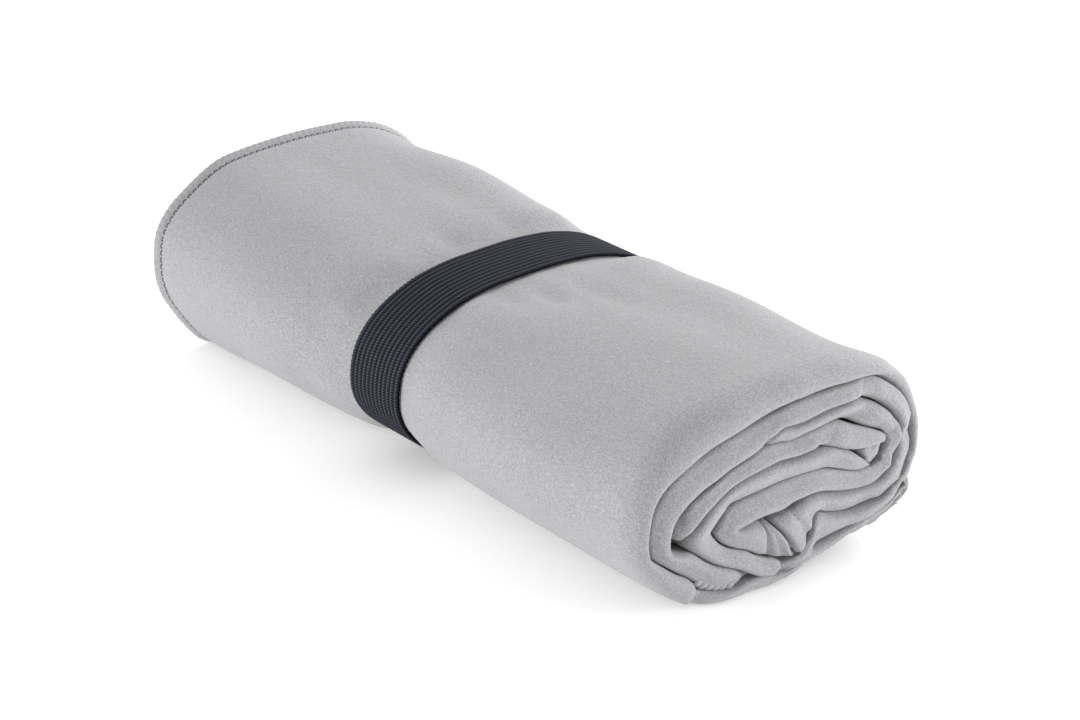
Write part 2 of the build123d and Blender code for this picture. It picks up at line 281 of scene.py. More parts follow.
def roll_section(x, y, z):
    """Moves a point of the drawn section to where it lies at x."""
    shape = x.shape
    x, y, z = x.ravel(), y.ravel(), z.ravel()
    reach, angle, out_y, out_z = outward(y, z)
    depth = sunk(x, angle) * smooth_step((reach - 0.35) / 0.6)
    away_from_ends = smooth_step((98 - x) / 16) * smooth_step((x + 97) / 12)
    depth = depth * away_from_ends * smooth_step((z - 2) / 12)
    near_band = smooth_step((np.abs(x - BAND_X) - BAND_WIDTH / 2) / 8)
    depth = depth - added(SWELLINGS, x, angle) * smooth_step((reach - 0.2) / 0.8) * near_band
    y = y - out_y * depth
    z = z - out_z * depth
    at = np.clip(x, GIRTH[0, 0], GIRTH[-1, 0])
    width, height, side, lift = smooth_rows(GIRTH[:, 1:], GIRTH[:, 0], at).T
    y = side + (y - SECTION_SIDE) * width / SECTION_WIDTH
    z = CLOTH / 2 + 0.05 + lift + z * (height - CLOTH) / SECTION_HEIGHT
    return y.reshape(shape), z.reshape(shape)


# ---------------- the towel's cloth
LAYERS = 8
OUTER_LAYER = 3.5                       # offset of the outermost layer, in layers
STRIP_THICKNESS = 5.6
FOLD_BULGE = 3.5                        # depth of a fold's rounded nose
OUTER_ROUNDING = 5.0                    # how much deeper the nose of the outer wrap is outside
TAIL_STAGGER = 4.2                      # by which the outer four layers end sooner at the tail
STAGGER_END = 45                        # distance from the tail where that has faded out
HEM_BACK = 1.3                          # how far the inner hems lie behind the outer ones
HEM_ROWS = [0.0, 0.6, 1.2, 1.8, 2.4, 2.9, 3.4]      # distances of a hem's rows from its edge


def across_profile(outer, back, middle_back, middle_front):
    """Rows across the towel's width for one half of the towel, from long edge to long edge.

    Each row is the layer's offset from the strip's middle, in layers; its share of the length
    from the hemmed end to the folded end, or half the span of a far fold; the angle round a
    fold; and what it is.
    """
    hem = [distance / 200 for distance in HEM_ROWS]
    body = hem + [0.022, 0.035]
    for first, last, count in [(0.055, 0.37, 17), (0.39, 0.60, 19), (0.62, 0.92, 15),
                               (0.935, 0.995, 6)]:
        body += list(np.linspace(first, last, count))
    coarse = [0.97, 0.9, 0.7, 0.5, 0.3, 0.1, 0.02]
    rows = [(outer, share, 0.0, "flat") for share in body]
    rows += [(outer, 1.0, angle, "near") for angle in np.linspace(0, np.pi, 17)]
    rows += [(back, share, 0.0, "flat") for share in coarse]
    middle, half_span = (back + middle_back) / 2, (middle_back - back) / 2
    rows += [(middle, half_span, angle, "far") for angle in np.linspace(0, np.pi, 6)]
    rows += [(middle_back, share, 0.0, "flat") for share in coarse[::-1]]
    rows += [(middle_back, 1.0, angle, "near") for angle in np.linspace(0, np.pi, 5)]
    rows += [(middle_front, share, 0.0, "flat") for share in coarse[:-1] + hem[::-1]]
    return rows


def soft_spots(spots, y, z):
    """Sum of soft spots at places of the section."""
    total = np.zeros_like(y)
    for at_y, at_z, depth, reach in spots:
        total += depth * np.exp(-((y - at_y) ** 2 + (z - at_z) ** 2) / reach**2)
    return total


# Grooves across the core's pleats: station after the core's first, depth, half width along
# the strip and bow.
GROOVES = [(3.0, 0.6, 1.0, 0.5), (5.45, 5.0, 0.60, 0.9), (8.0, 0.7, 0.9, -0.2)]


def core_groove(place, side):
    """Depth of the grooves of the core's pleats at a place along and across the strip."""
    total = np.zeros_like(place)
    for station, depth, half_width, bow in GROOVES:
        first = CORE_FIRST + int(station)
        share = station - int(station)
        middle = STATION_PLACE[first] * (1 - share) + STATION_PLACE[first + 1] * share
        off = place - middle + bow * (1 - side**2)
        total += depth * np.exp(-(off / half_width) ** 2) * (0.55 - 0.45 * side) ** 0.3
    return total


def crease_share(side):
    """Share of a full crease left beside one side of the strip."""
    return 1 - np.minimum(soft_spots(SHALLOW, side[..., 0], side[..., 1]), MOST_FILLED)


def side_of_row(offset, share, angle, kind):
    """Where a row lies across the strip, in layers to the left of its middle."""
    if kind == "near":
        return offset * math.cos(angle)
    if kind == "far":
        return offset - share * math.cos(angle)
    return offset


def nose(offset, angle):
    """A fold at an angle round it: its place across the strip, from -1 to 1, its share of the
    bulge behind the tip, and how far it leans back on the left."""
    size = abs(offset) / OUTER_LAYER
    side = math.copysign(abs(math.cos(angle)) ** 0.96, math.cos(angle)) * offset / OUTER_LAYER
    into = 1 - (0.2 + 0.8 * size) * abs(math.sin(angle)) ** 1.05
    lean = 0.40 * math.sin(angle) ** 2 * (1 + math.cos(angle)) * size
    return side, into, lean


def lay_out(rows, places):
    """One half of the towel, columns along the strip by rows across it: its points, and the
    room for one layer in each."""
    side_of = np.array([side_of_row(*row) for row in rows])
    earlier = TAIL_STAGGER * smooth_step(side_of + 0.5)
    near_tail = 1 - smooth_step(places / STAGGER_END)
    place = places[:, None] + earlier[None, :] * near_tail[:, None]
    at = smooth_rows(STATIONS, STATION_PLACE, place.ravel()).reshape(*place.shape, 5)
    left, right, stand_out = at[..., :2], at[..., 2:4], at[..., 4]
    width = np.linalg.norm(right - left, axis=-1)
    gap = np.minimum(0.10, 0.1 * width)
    centre = (left + right) / 2
    across = (left - right) / 2 * (1 - gap / np.maximum(width, 1e-6))[..., None]
    waves = (0.35 * np.sin(place / 4.1 + 1.3) * np.sin(place / 9.7)
             + 0.3 * np.sin(place / 17.0 + 0.4))
    tip = FOLD_X + stand_out - soft_spots(HOLLOWS, centre[..., 0], centre[..., 1]) + waves
    in_outer = smooth_step((place - OUTER_START) / 10) * smooth_step((OUTER_END - place) / 20)
    bulge = np.clip(FOLD_BULGE * (0.35 + 0.65 * width / STRIP_THICKNESS), 1.2, 4.2)
    bulge_left = bulge * crease_share(left) + in_outer * OUTER_ROUNDING
    bulge_right = bulge * crease_share(right)
    points = np.zeros((*place.shape, 3))
    for j, (offset, share, angle, kind) in enumerate(rows):
        behind = bulge_left[:, j] if side_of[j] > 0 else bulge_right[:, j]
        side = side_of[j] / OUTER_LAYER
        if kind == "near":
            side, into, lean = nose(offset, angle)
            x = tip[:, j] - behind * into - np.minimum(bulge_left[:, j], FOLD_BULGE) * lean
            x -= core_groove(place[:, j], side * math.sin(angle) ** 0.2)
        elif kind == "far":
            x = np.full(len(places), HEM_X + HEM_BACK - math.sin(angle) * share * 0.7)
        else:
            start = HEM_X if side_of[j] > -0.01 else HEM_X + HEM_BACK
            x = start + (tip[:, j] - behind - start) * share
        section = centre[:, j] + across[:, j] * side * (LAYERS - 1) / LAYERS
        if kind == "near":
            x -= soft_spots(PINCHES, section[:, 0], section[:, 1])
        points[:, j, 0] = x
        points[:, j, 1:] = section
    y, z = roll_section(points[..., 0], points[..., 1], points[..., 2])
    return np.stack([points[..., 0], y, z], -1), width / LAYERS


def grid_normals(points):
    """Unit normals of a grid of points."""
    normal = np.cross(np.gradient(points, axis=0), np.gradient(points, axis=1))
    return normal / np.maximum(np.linalg.norm(normal, axis=-1, keepdims=True), 1e-9)


FLATTENED = 0.6                         # height below which the underside lies flat
LOWEST = 0.05


def on_the_floor(points):
    """Presses the underside flat, so that nothing passes through the floor."""
    pressed = np.array(points, dtype=float)
    low = np.minimum(pressed[:, 2], FLATTENED)
    room = FLATTENED - LOWEST
    flat = LOWEST + room * np.exp((low - FLATTENED) / room)
    pressed[:, 2] = np.where(pressed[:, 2] < FLATTENED, flat, pressed[:, 2])
    return pressed


def make_object(name, vertices, faces, uv=None):
    """A smooth-shaded mesh object from points in millimetres and quads."""
    mesh = bpy.data.meshes.new(name)
    mesh.vertices.add(len(vertices))
    mesh.vertices.foreach_set("co", (on_the_floor(vertices) * MM).ravel())
    mesh.loops.add(faces.size)
    mesh.loops.foreach_set("vertex_index", faces.ravel())
    mesh.polygons.add(len(faces))
    mesh.polygons.foreach_set("loop_start", np.arange(len(faces)) * 4)
    mesh.polygons.foreach_set("use_smooth", np.ones(len(faces), bool))
    mesh.update(calc_edges=True)
    if uv is not None:
        layer = mesh.uv_layers.new(name="along_and_across")
        layer.data.foreach_set("uv", uv[faces.ravel()].ravel())
    mesh.validate()
    piece = bpy.data.objects.new(name, mesh)
    bpy.context.collection.objects.link(piece)
    return piece


def grid_faces(n, m):
    """Quads of a grid of n by m points."""
    index = np.arange(n * m).reshape(n, m)
    corners = [index[:-1, :-1], index[1:, :-1], index[1:, 1:], index[:-1, 1:]]
    return np.stack(corners, -1).reshape(-1, 4)


def closed_sheet(name, points, thick):
    """A thin closed mesh around a grid of middle points."""
    normal = grid_normals(points)
    n, m = points.shape[:2]
    top = points + normal * thick[..., None] / 2
    bottom = points - normal * thick[..., None] / 2
    index = np.arange(n * m).reshape(n, m)
    rim = np.concatenate([index[:, 0], index[-1, 1:], index[-2::-1, -1], index[0, -2:0:-1]])
    after = np.roll(rim, -1)
    faces = np.concatenate([grid_faces(n, m), grid_faces(n, m)[:, ::-1] + n * m,
                            np.stack([after, rim, rim + n * m, after + n * m], -1)])
    return make_object(name, np.concatenate([top.reshape(-1, 3), bottom.reshape(-1, 3)]), faces)


def swell_hem(points, outside):
    """Lifts the first long edge's seam off the cloth, with a groove along its needle line."""
    for j, distance in enumerate(HEM_ROWS):
        swelling = 0.75 * math.exp(-((distance - 1.2) / 1.1) ** 2)
        groove = 0.35 * math.exp(-((distance - 2.9) / 0.5) ** 2)
        points[:, j] += outside[:, j] * (swelling - groove)


# The front half has columns close together at the core, for its narrow slit. The back half is
# hidden inside it, and has fewer columns.
FRONT_STEP, CORE_STEP, BACK_STEP = 2.0, 0.16, 6.0
core_from, core_to = STATION_PLACE[CORE_FIRST + 2], STATION_PLACE[CORE_FIRST + 9]
front_places = np.linspace(0, STRIP_LENGTH, int(STRIP_LENGTH / FRONT_STEP))
front_places = np.unique(np.concatenate([front_places, np.arange(core_from, core_to, CORE_STEP)]))
back_places = np.linspace(STRIP_LENGTH, 0, int(STRIP_LENGTH / BACK_STEP))
front_rows = across_profile(OUTER_LAYER, -OUTER_LAYER, -0.5, 0.5)
back_rows = across_profile(2.5, -2.5, -1.5, 1.5)
front, front_gap = lay_out(front_rows, front_places)
back, back_gap = lay_out(back_rows, back_places)
swell_hem(front, -grid_normals(front))
thickness = np.minimum(CLOTH, 0.8 * np.concatenate([front_gap, back_gap]))
towel = closed_sheet("towel", np.concatenate([front, back]), thickness)


# ---------------- overlock seams
STITCH_PITCH = 2.0
NEEDLE_ROW = 5                          # row of a hem along which the needle's line runs


def along_edge(line, *others):
    """Even steps along an edge line, with other arrays read at the same steps."""
    length = np.concatenate([[0], np.cumsum(np.linalg.norm(np.diff(line, axis=0), axis=1))])
    steps = np.arange(STITCH_PITCH / 2, length[-1] - 0.2, STITCH_PITCH)
    values = []
    for other in (line, *others):
        flat = other.reshape(len(other), -1)
        read = np.stack([np.interp(steps, length, flat[:, k]) for k in range(flat.shape[1])], 1)
        values.append(read.reshape(len(steps), *other.shape[1:]))
    return values


def unit(vectors):
    """Vectors of length one, in the same directions."""
    return vectors / np.maximum(np.linalg.norm(vectors, axis=-1, keepdims=True), 1e-9)


def face_out(patches, along, back, normal):
    """Turns the points' order across where needed, so that the faces look away from the cloth."""
    return patches if np.sum(np.cross(along, back) * normal) > 0 else patches[:, :, ::-1]


def seam(band, normals, fine, plump=1.0):
    """Looper stitches over one edge: band holds the edge and the rows behind it.

    Each stitch is a raised rounded strip from the needle line, round the edge, to the other face.
    """
    edge, rows, normal = along_edge(band[:, 0], band, normals)
    along = unit(np.gradient(edge, axis=0))
    back = unit(rows[:, 2] - rows[:, 0])
    # Row of the band (-1 is off the edge), height over the cloth, slant and width.
    profile = [(6, 0.14, 0.0, 0.10), (5, 0.44, 0.05, 0.55), (4, 0.54, 0.12, 0.88),
               (2, 0.60, 0.28, 1.04), (0, 0.46, 0.4, 1.06), (-1, 0.0, 0.5, 1.06),
               (0, -0.46, 0.6, 1.06), (2, -0.48, 0.7, 0.9), (4, -0.36, 0.8, 0.4)]
    across = [-1.0, -0.6, 0.0, 0.6, 1.0]
    rise = [0.0, 0.16 * plump, 0.21 * plump, 0.16 * plump, 0.0]
    if not fine:
        profile = [profile[k] for k in (1, 3, 5, 7)]
        across, rise = across[::2], rise[::2]
    patches = np.zeros((len(edge), len(profile), len(across), 3))
    for i, (row, height, slant, wide) in enumerate(profile):
        if row < 0:
            middle, out = edge - back * 0.42, -back
        else:
            middle, out = rows[:, row] + normal * height, normal * math.copysign(1, height)
        for j, share in enumerate(across):
            shift = (share * wide * 0.5 + slant * 0.4) * STITCH_PITCH
            patches[:, i, j] = middle + along * shift + out * (rise[j] if wide > 0.35 else 0.02)
    return face_out(patches, along, back, normal)


def needle_line(band, normals):
    """Short stitches of the needle thread along the inner side of a seam."""
    edge, rows, normal = along_edge(band[:, 0], band, normals)
    along = unit(np.gradient(edge, axis=0))
    back = unit(rows[:, NEEDLE_ROW] - rows[:, NEEDLE_ROW - 1])
    middle = rows[:, NEEDLE_ROW] + back * 0.45 + normal * 0.40
    patches = np.zeros((len(edge), 5, 4, 3))
    lengthwise = [(-1.0, 0.10, 0.22), (-0.6, 0.02, 0.44), (0, 0.0, 0.52), (0.6, 0.02, 0.44),
                  (1.0, 0.10, 0.22)]
    for i, (shift, sink, size) in enumerate(lengthwise):
        bow = -0.30 * math.cos(shift * math.pi / 2)
        for j, (b, n) in enumerate([(-1, -0.2), (-0.45, 0.7), (0.45, 0.7), (1, -0.2)]):
            patches[:, i, j] = (middle + along * shift + back * (b * size + bow)
                                + normal * (n * size - sink))
    return face_out(patches, along, back, normal)


def patches_object(name, groups):
    """One object from groups of small open grids."""
    vertices, faces, first = [], [], 0
    for group in groups:
        count, n, m = group.shape[:3]
        starts = first + np.arange(count) * n * m
        faces.append((grid_faces(n, m)[None] + starts[:, None, None]).reshape(-1, 4))
        vertices.append(group.reshape(-1, 3))
        first += count * n * m
    return make_object(name, np.concatenate(vertices), np.concatenate(faces))


front_out, back_out = -grid_normals(front), -grid_normals(back)
hems = len(HEM_ROWS)
long_edges = [(front[:, :hems], front_out[:, 1], True),
              (front[:, :-hems - 1:-1], front_out[:, -2], False),
              (back[:, :hems], back_out[:, 1], False),
              (back[:, :-hems - 1:-1], back_out[:, -2], False)]
# A corner of the hem looks out under the second wrap, at the lower left of the folded end.
corner = len(TAIL_AND_UNDERSIDE) + len(OUTER_WRAP) + len(UNDER_THE_CORE)
corner_columns = np.nonzero((front_places > STATION_PLACE[corner + 1] - 1)
                            & (front_places < STATION_PLACE[corner + 4]))[0]
corner_row = [row[3] for row in front_rows].index("near") + 3
corner_rows = corner_row - np.arange(hems)
corner_out = front_out[corner_columns, corner_row - 2]
long_edges.append((front[corner_columns][:, corner_rows], corner_out, True, 2.2))


def short_edge_band(columns):
    """The cloth behind a short edge, at even distances from it, for every row."""
    run = columns.transpose(1, 0, 2)
    band = np.zeros((len(run), hems, 3))
    for i, line in enumerate(run):
        length = np.concatenate([[0], np.cumsum(np.linalg.norm(np.diff(line, axis=0), axis=1))])
        for axis in range(3):
            band[i, :, axis] = np.interp(HEM_ROWS, length, line[:, axis])
    return band


# The short edges lie one over the other across the tail, and go round its folds.
short_edges = [(short_edge_band(front[:6]), front_out[1], True, 2.0),
               (short_edge_band(back[:-7:-1]), back_out[-2], False)]


def sewn(name, edges):
    """The loopers' and the needle's thread of an overlock seam along some edges."""
    loopers = patches_object(name + "_loopers", [seam(*edge) for edge in edges])
    needle = patches_object(name + "_needle", [needle_line(*edge[:2]) for edge in edges])
    return loopers, needle


long_loopers, long_needle = sewn("long_edge", long_edges)
short_loopers, short_needle = sewn("short_edge", short_edges)


# ---------------- elastic band
OUTER_ROWS = 60                         # rows of the outer layer that the band may lie on
BAND_POINTS = 900                       # points of the band's middle line
BAND_GAP = 0.04                         # between the cloth and the tape
TAPE_START_Z = 11                       # the tape starts at this height, on the +Y side
TAPE_RIBS = 12
RIB_WIDTH = BAND_WIDTH / TAPE_RIBS
RIB_POINTS = 5                          # steps of the tape's outside across one rib
INNER_POINTS = TAPE_RIBS + 1
TAPE_INNER, TAPE_VALLEY, TAPE_CREST = -0.50, 0.24, 0.64     # heights over the tape's middle
LAP = 16.0
UV_UNIT = 10                            # ribs, or millimetres along the tape, in one unit of uv


def hull(points):
    """Corners of the convex hull, counter-clockwise."""
    ordered = sorted(map(tuple, points))

    def half(sequence):
        """Its lower side, or its upper one for points in reverse order."""
        chain = []
        for p in sequence:
            while len(chain) > 1:
                (ax, ay), (bx, by) = chain[-2], chain[-1]
                if (bx - ax) * (p[1] - ay) - (by - ay) * (p[0] - ax) > 0:
                    break
                chain.pop()
            chain.append(p)
        return chain[:-1]
    return np.array(half(ordered) + half(ordered[::-1]))


def band_loop():
    """The band's middle line round the squeezed roll: points, directions out, and length."""
    around = front[:, :OUTER_ROWS]
    close = np.abs(around[..., 0] - BAND_X) < BAND_WIDTH / 2 - 0.6
    corners = hull(around[close][:, 1:])
    closed = np.concatenate([corners, corners[:1]])
    length = np.concatenate([[0], np.cumsum(np.hypot(*np.diff(closed, axis=0).T))])
    steps = np.linspace(0, length[-1], BAND_POINTS, endpoint=False)
    line = np.stack([np.interp(steps, length, closed[:, k]) for k in (0, 1)], 1)
    for _ in range(3):
        line = sum(np.roll(line, k, axis=0) for k in range(-6, 7)) / 13     # a running mean
    ahead = unit(np.roll(line, -1, axis=0) - np.roll(line, 1, axis=0))
    out = np.stack([ahead[:, 1], -ahead[:, 0]], 1)
    line = line + out * (CLOTH / 2 + BAND_GAP - TAPE_INNER)
    start = np.argmin(np.hypot(line[:, 0] - line[:, 0].max(), line[:, 1] - TAPE_START_Z))
    line, out = np.roll(line, -start, axis=0), np.roll(out, -start, axis=0)
    closed = np.concatenate([line, line[:1]])
    length = np.concatenate([[0], np.cumsum(np.hypot(*np.diff(closed, axis=0).T))])
    return line, out, length


loop_line, loop_out, loop_length = band_loop()
LOOP = loop_length[-1]


def on_loop(t):
    """Point and outward direction on the loop at a distance along it."""
    wrapped = np.mod(t, LOOP)
    closed = np.concatenate([loop_line, loop_line[:1]])
    closed_out = np.concatenate([loop_out, loop_out[:1]])
    point = np.stack([np.interp(wrapped, loop_length, closed[:, k]) for k in (0, 1)], 1)
    out = np.stack([np.interp(wrapped, loop_length, closed_out[:, k]) for k in (0, 1)], 1)
    return point, unit(out)


def tape_shift(t):
    """How far the tape rides out over its own start where it laps."""
    return 1.16 * smooth_step((t - LOOP + 7.0) / 6.0)


def tape_ends(ends):
    """Quads that close the tape's two ends, one fan of them for each rib."""
    quads = []
    for column, turn in zip(ends, (1, -1)):
        low = column[TAPE_RIBS * RIB_POINTS + 1:][::-1]
        for k in range(TAPE_RIBS):
            top = column[RIB_POINTS * k:RIB_POINTS * (k + 1) + 1]
            fan = ([low[k], *top[0:3]], [low[k], *top[2:5]], [low[k], *top[4:6], low[k + 1]])
            quads += [quad[::turn] for quad in fan]
    return np.array(quads)


def tape():
    """The knitted tape: a ribbed strip that laps over its own start."""
    steps = np.arange(0, LOOP + LAP, 0.62)
    half_width = BAND_WIDTH / 2
    across = np.linspace(-half_width, half_width, TAPE_RIBS * RIB_POINTS + 1)
    crest = np.abs(np.sin(np.pi * (across + half_width) / RIB_WIDTH)) ** 0.6
    outer = TAPE_VALLEY + (TAPE_CREST - TAPE_VALLEY) * crest
    inner = np.full(INNER_POINTS, TAPE_INNER)
    inner[[0, -1]] = -0.2
    outer[[0, -1]] = 0.1
    x = np.concatenate([across, np.linspace(half_width, -half_width, INNER_POINTS)])
    height = np.concatenate([outer, inner])
    point, out = on_loop(steps)
    tooth = np.where(np.arange(len(steps)) % 2 == 0, 0.24, -0.14)
    edge = np.clip((np.abs(x) - half_width + RIB_WIDTH / 2) / (RIB_WIDTH / 2), 0, 1) * np.sign(x)
    vertices = np.zeros((len(steps), len(x), 3))
    vertices[..., 0] = BAND_X + x[None] + edge[None] * tooth[:, None]
    rise = height[None] + tape_shift(steps)[:, None]
    vertices[..., 1:] = point[:, None] + out[:, None] * rise[..., None]
    n, m = vertices.shape[:2]
    index = np.arange(n * m).reshape(n, m)
    wrapped = np.concatenate([index, index[:, :1]], 1)
    corners = [wrapped[:-1, :-1], wrapped[1:, :-1], wrapped[1:, 1:], wrapped[:-1, 1:]]
    faces = np.concatenate([np.stack(corners, -1).reshape(-1, 4), tape_ends(index[[0, -1]])])
    uv = np.zeros((n * m, 2))
    uv[:, 0] = np.repeat(steps, m) / UV_UNIT
    uv[:, 1] = np.tile((x + half_width) / RIB_WIDTH, n) / UV_UNIT
    return make_object("band_tape", vertices.reshape(-1, 3), faces, uv)


def tube(path, radius, sides):
    """Rings of points round a path, as a grid."""
    ahead = np.roll(path, -1, axis=0) - np.roll(path, 1, axis=0)
    ahead[0], ahead[-1] = path[1] - path[0], path[-1] - path[-2]
    ahead = unit(ahead)
    if np.ptp(path[:, 0]) < 0.001:
        side = np.tile([1.0, 0, 0], (len(path), 1))
    else:
        side = unit(np.cross(ahead, [0.0, 0.7, 0.71]))
    up = unit(np.cross(ahead, side))
    side = np.cross(up, ahead)
    angle = np.linspace(2 * np.pi, 0, sides + 1)
    radius = np.broadcast_to(radius, (len(path),))[:, None, None]
    turn_side, turn_up = np.cos(angle)[None, :, None], np.sin(angle)[None, :, None]
    return path[:, None] + (side[:, None] * turn_side + up[:, None] * turn_up) * radius


RUBBER_POINTS = 171                     # points along one rubber thread
RUBBER_RADIUS = 0.26
JOIN_RADIUS = 0.24
JOIN_STITCHES = 7                       # stitches in each of the two rows
JOIN_PITCH = 2.5
JOIN_FROM_END = 2.5                     # distance of a row of stitches from the lap's end
JOIN_STITCH = [(0.0, -0.6), (0.1, 0.45), (0.6, 0.78), (1.2, 0.80), (1.8, 0.45), (1.95, -0.6)]


def rubber_threads():
    """The rubber threads inside the tape, one in each rib."""
    steps = np.linspace(0.4, LOOP + LAP - 0.4, RUBBER_POINTS)
    point, out = on_loop(steps)
    section = point + out * (0.02 + tape_shift(steps))[:, None]
    radius = np.full(RUBBER_POINTS, RUBBER_RADIUS)
    radius[[0, -1]] = 0.02
    rings = []
    for k in range(TAPE_RIBS):
        x = BAND_X - BAND_WIDTH / 2 + RIB_WIDTH * (k + 0.5)
        path = np.concatenate([np.full((RUBBER_POINTS, 1), x), section], 1)
        rings.append(tube(path, radius, 6))
    return patches_object("band_rubber", [np.array(rings)])


def join_stitches():
    """Two rows of stitches through the lap; JOIN_STITCH holds lengths and heights of one."""
    stitches = []
    for row in (JOIN_FROM_END, LAP - JOIN_FROM_END):
        t = LOOP + row
        point, out = on_loop(np.array([t]))
        for k in range(JOIN_STITCHES):
            start = BAND_X - 8.6 + k * JOIN_PITCH
            path = [[start + ahead, *(point[0] + out[0] * (height + tape_shift(t)))]
                    for ahead, height in JOIN_STITCH]
            stitches.append(tube(np.array(path), JOIN_RADIUS, 8))
    return patches_object("band_join_stitches", [np.array(stitches)])


band_tape = tape()
band_rubber = rubber_threads()
band_stitches = join_stitches()


# ---------------- materials
KNIT_STITCH = 0.72                      # length of one stitch of a rib, in millimetres
KNIT_STAGGER = 0.37                     # part of a stitch by which each rib lies further on
KNIT_SLANT = 0.8                        # part of a stitch by which it runs on across its rib


def node_tree(name):
    """A new material, its nodes and its shader."""
    material = bpy.data.materials.new(name)
    material.use_nodes = True
    tree = material.node_tree
    return material, tree, tree.nodes["Principled BSDF"]


def object_place(tree):
    """The object's own coordinates."""
    return tree.nodes.new("ShaderNodeTexCoord").outputs["Object"]


def noise(tree, source, scale, detail, rough=0.6, stretch=None):
    """A noise texture on a coordinate, which may be stretched."""
    if stretch:
        mapping = tree.nodes.new("ShaderNodeMapping")
        mapping.inputs["Scale"].default_value = stretch
        tree.links.new(source, mapping.inputs["Vector"])
        source = mapping.outputs["Vector"]
    node = tree.nodes.new("ShaderNodeTexNoise")
    node.inputs["Scale"].default_value = scale
    node.inputs["Detail"].default_value = detail
    node.inputs["Roughness"].default_value = rough
    tree.links.new(source, node.inputs["Vector"])
    return node.outputs["Fac"]


def ramp(tree, source, stops):
    """A colour ramp from a value."""
    node = tree.nodes.new("ShaderNodeValToRGB")
    ends = zip(node.color_ramp.elements, (stops[0], stops[-1]))
    for element, (position, colour) in ends:
        element.position = position
        element.color = (*colour, 1)
    for position, colour in stops[1:-1]:
        node.color_ramp.elements.new(position).color = (*colour, 1)
    tree.links.new(source, node.inputs["Fac"])
    return node.outputs["Color"]


def math_node(tree, operation, a, b=None):
    """A maths node on sockets or numbers."""
    node = tree.nodes.new("ShaderNodeMath")
    node.operation = operation
    for k, value in enumerate((a, b)):
        if value is None:
            continue
        if isinstance(value, (int, float)):
            node.inputs[k].default_value = value
        else:
            tree.links.new(value, node.inputs[k])
    return node.outputs[0]


def bump(tree, shader, height, distance, strength):
    """Roughens a shader's normals by a height."""
    node = tree.nodes.new("ShaderNodeBump")
    node.inputs["Distance"].default_value = distance
    node.inputs["Strength"].default_value = strength
    tree.links.new(height, node.inputs["Height"])
    tree.links.new(node.outputs["Normal"], shader.inputs["Normal"])


def multiplied(tree, a, b):
    """The product of two colours."""
    node = tree.nodes.new("ShaderNodeMix")
    node.data_type = "RGBA"
    node.blend_type = "MULTIPLY"
    node.inputs["Factor"].default_value = 1.0
    tree.links.new(a, node.inputs["A"])
    tree.links.new(b, node.inputs["B"])
    return node.outputs["Result"]


def grey(tone):
    """A neutral colour."""
    return (tone, tone, tone)


def suede(name):
    """Brushed microfibre: fine mottling, a faint cloudy nap and a fuzzy bump."""
    material, tree, shader = node_tree(name)
    place = object_place(tree)
    base = np.array([0.278, 0.280, 0.289])
    mottle = ramp(tree, noise(tree, place, 2300, 3, 0.65),
                  [(0.28, tuple(base * 0.70)), (0.5, tuple(base)), (0.72, tuple(base * 1.34))])
    nap = ramp(tree, noise(tree, place, 900, 3, 0.6, (0.7, 1.0, 1.0)),
               [(0.3, grey(0.975)), (0.7, grey(1.02))])
    cloud = ramp(tree, noise(tree, place, 30, 2, 0.5), [(0.3, grey(0.98)), (0.7, grey(1.015))])
    inner = multiplied(tree, mottle, nap)
    tree.links.new(multiplied(tree, inner, cloud), shader.inputs["Base Color"])
    shader.inputs["Roughness"].default_value = 0.95
    shader.inputs["Specular IOR Level"].default_value = 0.2
    shader.inputs["Sheen Weight"].default_value = 0.25
    shader.inputs["Sheen Roughness"].default_value = 0.6
    fuzz = math_node(tree, "ADD", noise(tree, place, 2400, 4, 0.7),
                     math_node(tree, "MULTIPLY", noise(tree, place, 650, 3, 0.6), 1.3))
    bump(tree, shader, fuzz, 0.00022, 0.8)
    return material


def thread(name, colour):
    """Spun thread: fine fibres along it with slight changes of tone."""
    material, tree, shader = node_tree(name)
    place = object_place(tree)
    fibre = noise(tree, place, 3000, 4, 0.7)
    base = np.array(colour)
    tone = ramp(tree, fibre, [(0.3, tuple(base * 0.8)), (0.7, tuple(base * 1.2))])
    tree.links.new(tone, shader.inputs["Base Color"])
    shader.inputs["Roughness"].default_value = 0.75
    shader.inputs["Specular IOR Level"].default_value = 0.3
    shader.inputs["Sheen Weight"].default_value = 0.2
    bump(tree, shader, fibre, 0.00012, 0.8)
    return material


